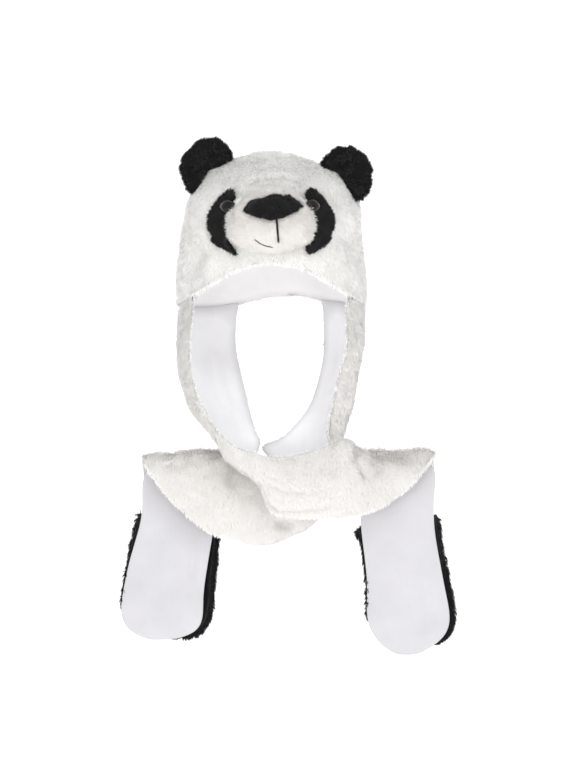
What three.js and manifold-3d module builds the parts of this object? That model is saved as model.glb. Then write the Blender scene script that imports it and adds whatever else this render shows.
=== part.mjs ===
// A plush panda hood with two scarf arms that cross under the chin, fold over and end in mittens.
// Millimetres. +Z is up, the face looks along -Y, and the origin is the inside of the crown.
// Left and right are the viewer's, and an arm is named for the side of the hood that it leaves.
import * as THREE from "three";
import { mergeVertices } from "three/addons/utils/BufferGeometryUtils.js";
import Module from "manifold-3d";

const wasm = await Module();
wasm.setup();

// Cloth
const PLUSH = 6; // plush cloth with the root of its pile
const FLEECE = 2.4; // lining and palm cloth
const GAP = 0.3; // left between pieces that touch
const SEAM = 1; // left where an arm is sewn to the hem of the hood

// Hood, measured on the outside of the plush
const CROWN_TOP = PLUSH + GAP + FLEECE;
const WAIST_Z = -120; // where the round crown turns into the straight sides
const HALF_WIDTH = 111;
const FRONT_DEPTH = 112;
const BACK_DEPTH = 120;
const ROUNDNESS = 2.2; // 2 is an ellipse, more is squarer
const NAPE_PULL = 0.1; // share by which the back hem is drawn in
const CROWN_LENGTH = 185; // along the cloth from the top to the waist
const HOOD_AROUND = 36;
const HOOD_ROWS = 12;

// Hem of the hood: the angle runs from the middle of the forehead round to the nape, and the
// back of the hem sits a little higher on the viewer's right.
const HEM = [
  { angle: 0, left: -126, right: -126 },
  { angle: 18, left: -132, right: -132 },
  { angle: 32, left: -143, right: -143 },
  { angle: 45, left: -155, right: -155 },
  { angle: 55, left: -166, right: -166 },
  { angle: 80, left: -175, right: -175 },
  { angle: 115, left: -180, right: -178 },
  { angle: 145, left: -179, right: -170 },
  { angle: 160, left: -173, right: -162 },
  { angle: 180, left: -163, right: -163 },
];
const NAPE_Z = -163;

// Soft creases pressed into the crown: x and z of the middle, turn from level in degrees.
const CREASES = [
  { x: -4, z: -24, turn: 6, length: 52, width: 6, depth: 2.6 },
  { x: 30, z: -36, turn: -14, length: 30, width: 5, depth: 2.2 },
  { x: -84, z: -132, turn: -58, length: 34, width: 9, depth: 4.5 },
  { x: 92, z: -112, turn: 64, length: 30, width: 9, depth: 4 },
];

// Face pieces, as seen from the front. A piece stands proud of the crown by a little at its
// edge and swells to its full stand in the middle.
const EDGE_PROUD = 2;
const MUZZLE_FLATTEN = 2.4; // more keeps the muzzle full nearer to its edge
const MUZZLE_ROUND = 0.55; // 0.5 is an ellipse in section
const PATCH_THIN = 0.5; // share of the patch's stand that is lost at its edge
const NOSE_THIN = 0.85;
const EYE_BRIM = 4; // the dome of an eye starts this far above its base
const THREAD_PROUD = 2.6;
const MUZZLE = { x: 0, z: -74, halfWidth: 51, halfHeight: 39, stand: 43, narrowing: 0.12 };
const PATCH = { x: 56, z: -77.5, halfWidth: 18, halfHeight: 38, stand: 3.5, bend: 12 };
const EYE = { x: 50.5, z: -58.5, radius: 8.7, stand: 11 };
const NOSE = { x: 2.7, z: -60, halfWidth: 35, halfHeight: 15.5, stand: 8, tilt: 5, point: 1.55 };
const MOUTH = { fromX: 6.5, toX: 9, fromZ: -76, toZ: -101, radius: 1.1 };

// Ears: round padded discs, cupped forwards; squareness 2 is an oval, more is squarer
const EAR_THICKNESS = 17;
const EAR_CUP = 7;
const EAR_RIM = 1.04; // over 1, so that the rim keeps some thickness
const EARS = [
  {
    name: "ear_left",
    x: -72.5,
    y: -16,
    z: -15.5,
    halfWidth: 33.5,
    halfHeight: 34,
    squareness: 2.5,
    lean: 39.5,
  },
  {
    name: "ear_right",
    x: 85,
    y: -16,
    z: -25,
    halfWidth: 32,
    halfHeight: 36.5,
    squareness: 2.3,
    lean: -38,
  },
];

// Arms. Each row is one section across the cloth, on the face between plush and lining:
// its front edge, a point in its middle, and its back edge.
const ARM_ACROSS = 6;
const ARM_STEPS = 2; // steps from one section to the next
const EDGE_THIN = 0.6; // share of the plush thickness that is left at its edges
const LEFT_ARM = {
  hem: { from: 55, to: 158 },
  sections: [
    { front: [-92, -67, -214], middle: [-105, 12, -222], back: [-42, 88, -222] },
    { front: [-90, -70, -254], middle: [-101, -4, -258], back: [-34, 54, -256] },
    { front: [-79, -76, -290], middle: [-90, -28, -300], back: [-26, 16, -294] },
    { front: [-60, -86, -324], middle: [-72, -66, -334], back: [-19, -30, -322] },
    { front: [-39, -94, -343], middle: [-56, -80, -356], back: [-20, -62, -346] },
    { front: [-19, -98, -349], middle: [-31, -92, -368], back: [-22, -74, -372] },
    { front: [0, -99, -354], middle: [-4, -103, -376], back: [-12, -84, -394] },
    { front: [28, -98, -352], middle: [22, -106, -385], back: [6, -90, -412] },
    { front: [55, -94, -345], middle: [53, -106, -386], back: [40, -93, -423] },
    { front: [80, -86, -336], middle: [84, -103, -382], back: [80, -91, -426] },
    { front: [97, -75, -338], middle: [109, -92, -377], back: [116, -82, -418] },
    { front: [103, -66, -345], middle: [129, -80, -370], back: [150, -74, -401] },
    { front: [104, -61, -350], middle: [141, -70, -361], back: [178, -68, -374] },
    { front: [104, -57, -355], middle: [148, -60, -356], back: [193, -61, -359] },
    { front: [103, -47, -349], middle: [149, -48, -348], back: [195, -48, -352] },
    { front: [103, -38, -358], middle: [149, -38, -358], back: [195, -38, -361] },
    { front: [103, -38, -392], middle: [148, -38, -392], back: [193, -38, -392] },
    { front: [103, -38, -426], middle: [148, -38, -426], back: [193, -38, -426] },
  ],
  ridge: 14, // the section that lies on top of the fold
};
const RIGHT_ARM = {
  hem: { from: -55, to: -145 },
  sections: [
    { front: [91, -66, -212], middle: [104, 10, -220], back: [63, 84, -222] },
    { front: [84, -62, -254], middle: [98, -2, -258], back: [55, 58, -262] },
    { front: [75, -54, -292], middle: [89, -8, -298], back: [42, 34, -300] },
    { front: [68, -40, -330], middle: [74, 0, -336], back: [13, 16, -333] },
    { front: [65, -24, -366], middle: [40, -4, -372], back: [3, -4, -370] },
    { front: [62, -16, -400], middle: [29, -8, -410], back: [-6, -12, -420] },
    { front: [57, -24, -425], middle: [20, -24, -441], back: [-22, -28, -452] },
    { front: [44, -40, -409], middle: [3, -42, -430], back: [-42, -44, -451] },
    { front: [18, -45, -389], middle: [-24, -54, -417], back: [-67, -49, -446] },
    { front: [-10, -45, -376], middle: [-48, -58, -402], back: [-90, -51, -432] },
    { front: [-36, -44, -365], middle: [-71, -55, -385], back: [-111, -50, -413] },
    { front: [-52, -45, -360], middle: [-88, -52, -371], back: [-129, -49, -393] },
    { front: [-58, -44, -359], middle: [-98, -48, -362], back: [-141, -47, -373] },
    { front: [-60, -42, -356], middle: [-104, -44, -357], back: [-148, -43, -360] },
    { front: [-60, -33, -350], middle: [-105, -33, -350], back: [-149, -33, -354] },
    { front: [-60, -24, -359], middle: [-105, -24, -359], back: [-149, -24, -362] },
    { front: [-61, -24, -392], middle: [-106, -24, -392], back: [-150, -24, -392] },
    { front: [-62, -24, -424], middle: [-107, -24, -424], back: [-152, -24, -424] },
  ],
  ridge: 14,
};

// Mittens: the edges of the palm towards and away from the other mitten, how far the black
// back shows past each edge, and the swell of the back.
const MITTEN_AROUND = 10;
const MITTEN_FULLNESS = 0.7; // 1 is an ellipse in section, less is fuller
const POCKET_LEAST = 0.8; // the hollow is never shallower than this
const PALM_ACROSS = 6;
const PALM_SWELL = 4; // the palm bulges this far to the front
const MITTEN_RIGHT = {
  name: "right",
  planeY: -38,
  rows: [
    { z: -366, inside: 105, outside: 192, pastInside: 3, pastOutside: 6, swell: 22 },
    { z: -426, inside: 104, outside: 192, pastInside: 4, pastOutside: 7, swell: 24 },
    { z: -457, inside: 108, outside: 196, pastInside: 3, pastOutside: 8, swell: 27 },
    { z: -497, inside: 113, outside: 204, pastInside: 3, pastOutside: 9, swell: 28 },
    { z: -530, inside: 115, outside: 209, pastInside: 2, pastOutside: 9, swell: 26 },
    { z: -554, inside: 119, outside: 209, pastInside: 3, pastOutside: 8, swell: 23 },
    { z: -567, inside: 125, outside: 203, pastInside: 3, pastOutside: 7, swell: 18 },
    { z: -577, inside: 134, outside: 191, pastInside: 3, pastOutside: 6, swell: 12 },
    { z: -583, inside: 148, outside: 174, pastInside: 3, pastOutside: 4, swell: 7 },
  ],
};
const MITTEN_LEFT = {
  name: "left",
  planeY: -24,
  rows: [
    { z: -366, inside: -63, outside: -149, pastInside: 5, pastOutside: 6, swell: 22 },
    { z: -424, inside: -65, outside: -152, pastInside: 9, pastOutside: 8, swell: 24 },
    { z: -455, inside: -70, outside: -162, pastInside: 11, pastOutside: 6, swell: 27 },
    { z: -490, inside: -76, outside: -172, pastInside: 13, pastOutside: 3, swell: 28 },
    { z: -524, inside: -81, outside: -176, pastInside: 13, pastOutside: 2, swell: 26 },
    { z: -543, inside: -82, outside: -174, pastInside: 11, pastOutside: 2, swell: 22 },
    { z: -556, inside: -86, outside: -169, pastInside: 8, pastOutside: 2, swell: 17 },
    { z: -564, inside: -95, outside: -159, pastInside: 7, pastOutside: 2, swell: 12 },
    { z: -569, inside: -111, outside: -142, pastInside: 6, pastOutside: 3, swell: 7 },
  ],
};

const COLOURS = {
  plush: { color: 0xedeae4, roughness: 0.95 },
  fleece: { color: 0xe6e4ea, roughness: 0.95 },
  black: { color: 0x1b1817, roughness: 0.95 },
  eye: { color: 0x120c0a, roughness: 0.12 },
  thread: { color: 0x151313, roughness: 0.7 },
};

const radians = THREE.MathUtils.degToRad;

// Straight lines between the rows of a table.
function lookUp(rows, key, at, value) {
  const last = rows.length - 1;
  if (at <= rows[0][key]) return rows[0][value];
  for (let i = 0; i < last; i++) {
    const low = rows[i];
    const high = rows[i + 1];
    if (at <= high[key]) {
      const share = (at - low[key]) / (high[key] - low[key]);
      return THREE.MathUtils.lerp(low[value], high[value], share);
    }
  }
  return rows[last][value];
}

function hemHeight(angle) {
  const turned = ((angle + 540) % 360) - 180;
  return lookUp(HEM, "angle", Math.abs(turned), turned > 0 ? "left" : "right");
}

// Share of the full width that the crown has at a height.
function crownShare(z, top) {
  if (z <= WAIST_Z) return 1;
  const up = Math.min(1, (z - WAIST_Z) / (top - WAIST_Z));
  return (1 - up ** ROUNDNESS) ** (1 / ROUNDNESS);
}

// How far a crease presses the front of the crown in at a place seen from the front.
function creaseDepth(x, y, z) {
  if (y > 0) return 0;
  let depth = 0;
  for (const c of CREASES) {
    const turn = radians(c.turn);
    const along = (x - c.x) * Math.cos(turn) + (z - c.z) * Math.sin(turn);
    const across = (z - c.z) * Math.cos(turn) - (x - c.x) * Math.sin(turn);
    depth += c.depth * Math.exp(-((across / c.width) ** 2) - (along / c.length) ** 4);
  }
  return depth;
}

// A point of the hood: angle from the forehead, share of the way from the top to the hem,
// and how far inside the outer face.
function hoodPoint(angle, share, inset) {
  const turn = radians(angle);
  const top = CROWN_TOP - inset;
  const hem = hemHeight(angle);
  const turnPoint = CROWN_LENGTH / (CROWN_LENGTH + WAIST_Z - hem);
  let z;
  let radius = 1;
  if (share < turnPoint) {
    const arc = (1 - share / turnPoint) * (Math.PI / 2);
    z = WAIST_Z + (top - WAIST_Z) * Math.sin(arc) ** (2 / ROUNDNESS);
    radius = Math.cos(arc) ** (2 / ROUNDNESS);
  } else {
    z = WAIST_Z + ((share - turnPoint) / (1 - turnPoint)) * (hem - WAIST_Z);
  }
  const behind = Math.cos(turn) < 0;
  const depth = (behind ? BACK_DEPTH : FRONT_DEPTH) - inset;
  const below = Math.max(0, (WAIST_Z - z) / (WAIST_Z - NAPE_Z));
  const drawn = behind ? 1 - NAPE_PULL * below * below : 1;
  const point = new THREE.Vector3(
    -(HALF_WIDTH - inset) * radius * Math.sin(turn),
    -depth * radius * drawn * Math.cos(turn),
    z,
  );
  const pressed = creaseDepth(point.x, point.y, point.z);
  const flat = Math.max(1, Math.hypot(point.x, point.y));
  point.x *= 1 - pressed / flat;
  point.y *= 1 - pressed / flat;
  return point;
}

// The front of the crown's outer face at a place seen from the front.
function crownFront(x, z) {
  const reach = crownShare(z, CROWN_TOP);
  const side = Math.min(0.98, Math.abs(x) / HALF_WIDTH / Math.max(reach, 0.05));
  return -FRONT_DEPTH * reach * Math.sqrt(1 - side * side);
}

function quad(faces, a, b, c, d) {
  faces.push(a, b, c, a, c, d);
}

// A closed solid between two grids of points with the same rows and columns. A round one joins
// its last column to its first, and a pointed one draws its first row into one point.
function shell(outer, inner, { round = false, pointed = false } = {}) {
  const rows = outer.length;
  const columns = outer[0].length;
  const points = [];
  const layers = [outer, inner].map((grid) =>
    grid.map((row, r) => {
      if (r === 0 && pointed) {
        points.push(row[0]);
        return row.map(() => points.length - 1);
      }
      return row.map((p) => points.push(p) - 1);
    }),
  );
  const faces = [];
  const spans = round ? columns : columns - 1;
  const next = (c) => (c + 1) % columns;
  layers.forEach((grid, k) => {
    for (let r = 0; r < rows - 1; r++) {
      for (let c = 0; c < spans; c++) {
        const [a, b] = [grid[r][c], grid[r][next(c)]];
        const [e, d] = [grid[r + 1][next(c)], grid[r + 1][c]];
        if (k) quad(faces, a, d, e, b);
        else quad(faces, a, b, e, d);
      }
    }
  });
  const [out, into] = layers;
  const end = rows - 1;
  for (let c = 0; c < spans; c++) {
    if (!pointed) quad(faces, out[0][next(c)], out[0][c], into[0][c], into[0][next(c)]);
    quad(faces, out[end][c], out[end][next(c)], into[end][next(c)], into[end][c]);
  }
  if (!round) {
    const side = columns - 1;
    for (let r = 0; r < end; r++) {
      quad(faces, out[r][0], out[r + 1][0], into[r + 1][0], into[r][0]);
      quad(faces, out[r + 1][side], out[r][side], into[r][side], into[r + 1][side]);
    }
  }
  return toGeometry(points, faces);
}

// Drops faces that have shrunk to a line and turns the whole mesh to face outwards.
function toGeometry(points, faces) {
  const kept = [];
  for (let i = 0; i < faces.length; i += 3) {
    const [a, b, c] = faces.slice(i, i + 3);
    if (a !== b && b !== c && c !== a) kept.push([a, b, c]);
  }
  let volume = 0;
  for (const [a, b, c] of kept) {
    volume += points[a].dot(new THREE.Vector3().crossVectors(points[b], points[c]));
  }
  if (volume < 0) kept.forEach((face) => face.reverse());
  return new THREE.BufferGeometry()
    .setAttribute("position", new THREE.Float32BufferAttribute(points.flatMap((p) => [...p]), 3))
    .setIndex(kept.flat());
}

function toSolid(geometry) {
  const bare = geometry.clone();
  bare.deleteAttribute("normal");
  bare.deleteAttribute("uv");
  const merged = mergeVertices(bare, 1e-3);
  const mesh = new wasm.Mesh({
    numProp: 3,
    vertProperties: merged.attributes.position.array,
    triVerts: new Uint32Array(merged.index.array),
  });
  return new wasm.Manifold(mesh);
}

function fromSolid(solid) {
  const mesh = solid.getMesh();
  return new THREE.BufferGeometry()
    .setAttribute("position", new THREE.BufferAttribute(mesh.vertProperties, 3))
    .setIndex(new THREE.BufferAttribute(mesh.triVerts, 1));
}

// The largest body of a piece once its neighbours are cut away from it.
function cutAway(geometry, neighbours) {
  let solid = toSolid(geometry);
  for (const neighbour of neighbours) solid = solid.subtract(toSolid(neighbour));
  const bodies = solid.decompose();
  bodies.sort((a, b) => b.volume() - a.volume());
  return fromSolid(bodies[0]);
}

function hoodGrid(inset) {
  const rows = [];
  for (let r = 0; r <= HOOD_ROWS; r++) {
    const row = [];
    for (let c = 0; c < HOOD_AROUND; c++) {
      row.push(hoodPoint((c / HOOD_AROUND) * 360, r / HOOD_ROWS, inset));
    }
    rows.push(row);
  }
  return rows;
}

function hoodShell() {
  return shell(hoodGrid(0), hoodGrid(PLUSH), { round: true, pointed: true });
}

function hoodLining() {
  const inset = PLUSH + GAP;
  return shell(hoodGrid(inset), hoodGrid(inset + FLEECE), { round: true, pointed: true });
}

// The hood without its hollow, a little larger, for seating pieces on its outer face.
function hoodBlock() {
  const wall = PLUSH / 2;
  return shell(hoodGrid(-GAP), hoodGrid(wall), { round: true, pointed: true });
}

// A pad on the face: a disc whose outline, base and top are functions of the place.
function facePad({ x, z, outline, baseY, topY, around, rings }) {
  const base = [];
  const top = [];
  for (let r = 0; r <= rings; r++) {
    const share = r / rings;
    const low = [];
    const high = [];
    for (let c = 0; c < around; c++) {
      const turn = (c / around) * Math.PI * 2;
      const reach = outline(turn);
      const px = x + reach.x * share;
      const pz = z + reach.z * share;
      low.push(new THREE.Vector3(px, baseY(px, pz, share), pz));
      high.push(new THREE.Vector3(px, topY(px, pz, share), pz));
    }
    base.push(low);
    top.push(high);
  }
  return shell(top, base, { round: true, pointed: true });
}

// An oval outline, turned, with its ends drawn to points where the power is under 2.
function oval(halfWidth, halfHeight, tilt = 0, power = 2, narrowing = 0) {
  const turnBy = radians(tilt);
  return (turn) => {
    const c = Math.cos(turn);
    const s = Math.sin(turn);
    const px = Math.sign(c) * Math.abs(c) ** (2 / power) * halfWidth * (1 - narrowing * s);
    const pz = Math.sign(s) * Math.abs(s) ** (2 / power) * halfHeight;
    return {
      x: px * Math.cos(turnBy) - pz * Math.sin(turnBy),
      z: px * Math.sin(turnBy) + pz * Math.cos(turnBy),
    };
  };
}

const SINK = 5; // a face piece starts this deep in the cloth, and is then cut to seat on it

// How far the muzzle stands out at a place seen from the front, 0 outside it.
function muzzleStand(x, z) {
  const up = (z - MUZZLE.z) / MUZZLE.halfHeight;
  const wide = MUZZLE.halfWidth * (1 - MUZZLE.narrowing * THREE.MathUtils.clamp(up, -1, 1));
  const out = Math.hypot((x - MUZZLE.x) / wide, up);
  return out < 1 ? MUZZLE.stand * (1 - out ** MUZZLE_FLATTEN) ** MUZZLE_ROUND : 0;
}

function muzzle(grown) {
  const { x, z, halfWidth, halfHeight, stand, narrowing } = MUZZLE;
  return facePad({
    x,
    z,
    outline: oval(halfWidth + grown, halfHeight + grown, 0, 2, narrowing),
    baseY: (px, pz) => crownFront(px, pz) + SINK + grown,
    topY: (px, pz, share) =>
      crownFront(px, pz) -
      grown -
      EDGE_PROUD -
      stand * (1 - share ** MUZZLE_FLATTEN) ** MUZZLE_ROUND,
    around: 28,
    rings: 7,
  });
}

// An oval bent towards the muzzle at its top and bottom.
function eyePatch(side, grown) {
  const { x, z, halfWidth, halfHeight, stand, bend } = PATCH;
  const upright = oval(halfWidth + grown, halfHeight + grown);
  const bent = (turn) => {
    const reach = upright(turn);
    const up = reach.z / halfHeight;
    return { x: reach.x - side * bend * up * up, z: reach.z };
  };
  return facePad({
    x: side * x,
    z,
    outline: bent,
    baseY: (px, pz) => crownFront(px, pz) + SINK,
    topY: (px, pz, share) =>
      crownFront(px, pz) - grown - stand * (1 - PATCH_THIN * share ** 4),
    around: 24,
    rings: 4,
  });
}

function eye(side) {
  const { x, z, radius, stand } = EYE;
  const seat = crownFront(x, z);
  const slope = (crownFront(x + 1, z) - crownFront(x - 1, z)) / 2;
  return facePad({
    x: side * x,
    z,
    outline: oval(radius, radius),
    baseY: (px) => seat + slope * (Math.abs(px) - x) + SINK,
    topY: (px, pz, share) => {
      const dome = Math.sqrt(Math.max(0, 1 - share * share));
      return seat + slope * (Math.abs(px) - x) - PATCH.stand - (stand - EYE_BRIM) * dome;
    },
    around: 14,
    rings: 4,
  });
}

function nose() {
  const { x, z, halfWidth, halfHeight, stand, tilt, point } = NOSE;
  return facePad({
    x,
    z,
    outline: oval(halfWidth, halfHeight, tilt, point),
    baseY: (px, pz) => crownFront(px, pz) - muzzleStand(px, pz) + SINK,
    topY: (px, pz, share) => {
      const rise = stand * Math.sqrt(1 - NOSE_THIN * share ** 3);
      return crownFront(px, pz) - muzzleStand(px, pz) - EDGE_PROUD - rise;
    },
    around: 20,
    rings: 4,
  });
}

function mouthLine() {
  const points = [];
  const steps = 6;
  for (let i = 0; i <= steps; i++) {
    const x = THREE.MathUtils.lerp(MOUTH.fromX, MOUTH.toX, i / steps);
    const z = THREE.MathUtils.lerp(MOUTH.fromZ, MOUTH.toZ, i / steps);
    points.push(new THREE.Vector3(x, crownFront(x, z) - muzzleStand(x, z) - THREAD_PROUD, z));
  }
  const section = new THREE.Shape();
  section.absarc(0, 0, MOUTH.radius, 0, Math.PI * 2, false);
  return new THREE.ExtrudeGeometry(section, {
    extrudePath: new THREE.CatmullRomCurve3(points),
    steps: 10,
    curveSegments: 4,
    bevelEnabled: false,
  });
}

function ear({ x, y, z, halfWidth, halfHeight, squareness, lean }) {
  const around = 24;
  const rings = 4;
  const rim = oval(halfWidth, halfHeight, lean, squareness);
  const layer = (side) => {
    const rows = [];
    for (let r = 0; r <= rings; r++) {
      const share = r / rings;
      const row = [];
      for (let c = 0; c < around; c++) {
        const reach = rim((c / around) * Math.PI * 2);
        const thick = (EAR_THICKNESS / 2) * Math.sqrt(EAR_RIM - share ** 3);
        const cup = EAR_CUP * share * share;
        const deep = y - cup + side * thick;
        row.push(new THREE.Vector3(x + reach.x * share, deep, z + reach.z * share));
      }
      rows.push(row);
    }
    return rows;
  };
  return shell(layer(-1), layer(1), { round: true, pointed: true });
}

const STRAIGHT = 0.5; // an arc that rises less than this is taken as a straight line

// Points spread evenly along the arc through three points.
function arcThrough(first, middle, last, count) {
  const chord = last.clone().sub(first);
  const half = chord.length() / 2;
  const centreOfChord = first.clone().add(last).multiplyScalar(0.5);
  const along = chord.normalize();
  const rise = middle.clone().sub(centreOfChord);
  rise.addScaledVector(along, -rise.dot(along));
  const sag = rise.length();
  const points = [];
  if (sag < STRAIGHT) {
    for (let i = 0; i < count; i++) points.push(first.clone().lerp(last, i / (count - 1)));
    return points;
  }
  const radius = (half * half + sag * sag) / (2 * sag);
  const up = rise.normalize();
  const centre = centreOfChord.addScaledVector(up, sag - radius);
  const reach = Math.atan2(half, radius - sag);
  for (let i = 0; i < count; i++) {
    const angle = -reach + (2 * reach * i) / (count - 1);
    points.push(
      centre
        .clone()
        .addScaledVector(along, radius * Math.sin(angle))
        .addScaledVector(up, radius * Math.cos(angle)),
    );
  }
  return points;
}

// The face between an arm's plush and its lining, as rows of points across the cloth.
function armFace(arm) {
  const { from, to } = arm.hem;
  const atHem = [];
  for (let i = 0; i <= ARM_ACROSS; i++) {
    const angle = THREE.MathUtils.lerp(from, to, i / ARM_ACROSS);
    const point = hoodPoint(angle, 1, PLUSH);
    point.z -= SEAM;
    atHem.push(point);
  }
  const rows = [atHem];
  for (const { front, middle, back } of arm.sections) {
    const first = new THREE.Vector3(...front);
    const last = new THREE.Vector3(...back);
    rows.push(arcThrough(first, new THREE.Vector3(...middle), last, ARM_ACROSS + 1));
  }
  const lines = atHem.map((_, i) => new THREE.CatmullRomCurve3(rows.map((row) => row[i])));
  const smooth = [];
  const total = (rows.length - 1) * ARM_STEPS;
  for (let r = 0; r <= total; r++) smooth.push(lines.map((line) => line.getPoint(r / total)));
  return smooth;
}

// Unit normals of a grid of points, on the plush side of an arm, level where it meets the hood.
function faceNormals(grid, sign) {
  return grid.map((row, r) =>
    row.map((_, c) => {
      const down = grid[Math.min(r + 1, grid.length - 1)][c].clone();
      down.sub(grid[Math.max(r - 1, 0)][c]);
      const sideways = row[Math.min(c + 1, row.length - 1)].clone();
      sideways.sub(row[Math.max(c - 1, 0)]);
      const normal = down.cross(sideways).multiplyScalar(sign);
      if (r === 0) normal.z = 0;
      return normal.normalize();
    }),
  );
}

function offsetGrid(grid, normals, distance) {
  return grid.map((row, r) =>
    row.map((p, c) => p.clone().addScaledVector(normals[r][c], distance(r, c))),
  );
}

function armPlush(arm, sign) {
  const face = armFace(arm);
  const normals = faceNormals(face, sign);
  const thick = (r, c) => {
    const middle = Math.sqrt(Math.sin((Math.PI * c) / ARM_ACROSS));
    return PLUSH * THREE.MathUtils.lerp(EDGE_THIN, 1, middle);
  };
  return shell(offsetGrid(face, normals, thick), face);
}

// The lining follows the plush from the hem to just before the fold.
function armLining(arm, sign) {
  const face = armFace(arm).slice(0, (arm.ridge - 1) * ARM_STEPS + 1);
  const normals = faceNormals(face, sign);
  const outer = offsetGrid(face, normals, () => -GAP);
  const inner = offsetGrid(face, normals, () => -GAP - FLEECE);
  return shell(outer, inner);
}

function mittenPalm({ rows, planeY }) {
  const layer = (back) =>
    rows.map(({ z, inside, outside }, r) => {
      const row = [];
      for (let i = 0; i <= PALM_ACROSS; i++) {
        const share = i / PALM_ACROSS;
        const x = THREE.MathUtils.lerp(inside, outside, share);
        const lower = THREE.MathUtils.clamp((r - 1) / 2, 0, 1);
        const swell = PALM_SWELL * Math.sin(Math.PI * share) * lower;
        row.push(new THREE.Vector3(x, planeY - GAP - swell - (back ? 0 : FLEECE), z));
      }
      return row;
    });
  return shell(layer(false), layer(true));
}

// The black back of a mitten: a trough behind the palm, open at the top for the hand.
function mittenBack({ rows, planeY }) {
  const used = rows.slice(1);
  const layer = (inner) =>
    used.map(({ z, inside, outside, pastInside, pastOutside, swell }, r) => {
      const way = Math.sign(outside);
      const near = inside - way * pastInside;
      const far = outside + way * pastOutside;
      const centre = (near + far) / 2;
      const full = Math.abs(far - near) / 2;
      const reach = inner ? full - PLUSH : full;
      const depth = inner ? Math.max(POCKET_LEAST, swell - PLUSH) : swell;
      const lift = inner ? (PLUSH * r) / (used.length - 1) : 0;
      const row = [];
      for (let i = 0; i <= MITTEN_AROUND; i++) {
        const angle = (i / MITTEN_AROUND) * Math.PI;
        const x = centre - Math.cos(angle) * reach;
        const y = planeY + GAP + depth * Math.sin(angle) ** MITTEN_FULLNESS;
        row.push(new THREE.Vector3(x, y, z + lift));
      }
      return row;
    });
  return shell(layer(false), layer(true));
}

function makeMesh(name, geometry, look) {
  const material = new THREE.MeshStandardMaterial({ ...COLOURS[look], metalness: 0 });
  geometry.computeVertexNormals();
  const mesh = new THREE.Mesh(geometry, material);
  mesh.name = name;
  return mesh;
}

const part = new THREE.Group();
part.name = "panda_hat";
part.add(makeMesh("hood_shell", hoodShell(), "plush"));
part.add(makeMesh("hood_lining", hoodLining(), "fleece"));

const block = hoodBlock();
const muzzleBlock = muzzle(GAP);
part.add(makeMesh("muzzle", cutAway(muzzle(0), [block]), "plush"));
part.add(makeMesh("nose", cutAway(nose(), [muzzleBlock]), "black"));
part.add(makeMesh("mouth_line", cutAway(mouthLine(), [muzzleBlock]), "thread"));
for (const [name, side] of [["left", -1], ["right", 1]]) {
  const patchBlock = eyePatch(side, GAP);
  const patch = cutAway(eyePatch(side, 0), [block, muzzleBlock]);
  part.add(makeMesh(`eye_patch_${name}`, patch, "black"));
  const button = cutAway(eye(side), [block, muzzleBlock, patchBlock]);
  part.add(makeMesh(`eye_${name}`, button, "eye"));
}
for (const spec of EARS) part.add(makeMesh(spec.name, cutAway(ear(spec), [block]), "black"));

for (const [name, arm, sign] of [["left", LEFT_ARM, -1], ["right", RIGHT_ARM, 1]]) {
  part.add(makeMesh(`arm_${name}`, armPlush(arm, sign), "plush"));
  part.add(makeMesh(`arm_lining_${name}`, armLining(arm, sign), "fleece"));
}
for (const mitten of [MITTEN_LEFT, MITTEN_RIGHT]) {
  part.add(makeMesh(`mitten_palm_${mitten.name}`, mittenPalm(mitten), "fleece"));
  part.add(makeMesh(`mitten_back_${mitten.name}`, mittenBack(mitten), "black"));
}

export default part;
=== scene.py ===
import math

import bmesh
import bpy
import numpy as np
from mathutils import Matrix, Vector, noise
from mathutils.bvhtree import BVHTree


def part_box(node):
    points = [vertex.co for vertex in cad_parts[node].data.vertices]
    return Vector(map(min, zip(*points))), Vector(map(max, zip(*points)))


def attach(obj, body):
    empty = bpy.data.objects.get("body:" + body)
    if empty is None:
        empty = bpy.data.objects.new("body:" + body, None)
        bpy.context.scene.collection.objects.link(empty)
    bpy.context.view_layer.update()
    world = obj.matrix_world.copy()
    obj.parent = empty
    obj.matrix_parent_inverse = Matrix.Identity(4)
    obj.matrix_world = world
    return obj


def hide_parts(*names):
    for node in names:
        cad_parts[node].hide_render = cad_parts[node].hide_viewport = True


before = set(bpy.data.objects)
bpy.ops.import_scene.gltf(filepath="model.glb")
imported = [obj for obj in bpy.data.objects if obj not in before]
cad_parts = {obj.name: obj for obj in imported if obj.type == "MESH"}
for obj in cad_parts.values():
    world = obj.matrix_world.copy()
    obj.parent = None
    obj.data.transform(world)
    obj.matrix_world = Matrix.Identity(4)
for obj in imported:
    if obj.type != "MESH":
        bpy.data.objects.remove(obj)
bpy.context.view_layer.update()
MM = 0.001
FOLD_ANGLE = math.radians(50)  # faces that meet at more than this have an edge between them
FULL_WALL = 5.6 * MM  # where the plush is this far from its lining, its wall is a full one
FOLDED_END = 60 * MM  # the deepest hollow inside a folded end
BLOW_FRAMES = 20  # of the short simulation that blows a stuffed piece up
YARN_STEPS, YARN_SIDES = 40, 8


# The hood: white long-pile plush, cut in panels and sewn into a round crown with straight
# sides. The cloth is a 6 mm shell, soft creases are pressed into it, and the pile grows
# from its outer face in locks that lean down and to the sides.
def link(name, mesh):
    piece = bpy.data.objects.new(name, mesh)
    bpy.context.scene.collection.objects.link(piece)
    return piece


def finished(piece):
    """Applies a piece's modifiers to its mesh."""
    graph = bpy.context.evaluated_depsgraph_get()
    graph.update()
    mesh = bpy.data.meshes.new_from_object(piece.evaluated_get(graph))
    piece.modifiers.clear()
    old = piece.data
    piece.data = mesh
    bpy.data.meshes.remove(old)
    mesh.name = piece.name
    mesh.polygons.foreach_set("use_smooth", [True] * len(mesh.polygons))
    return piece


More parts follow.
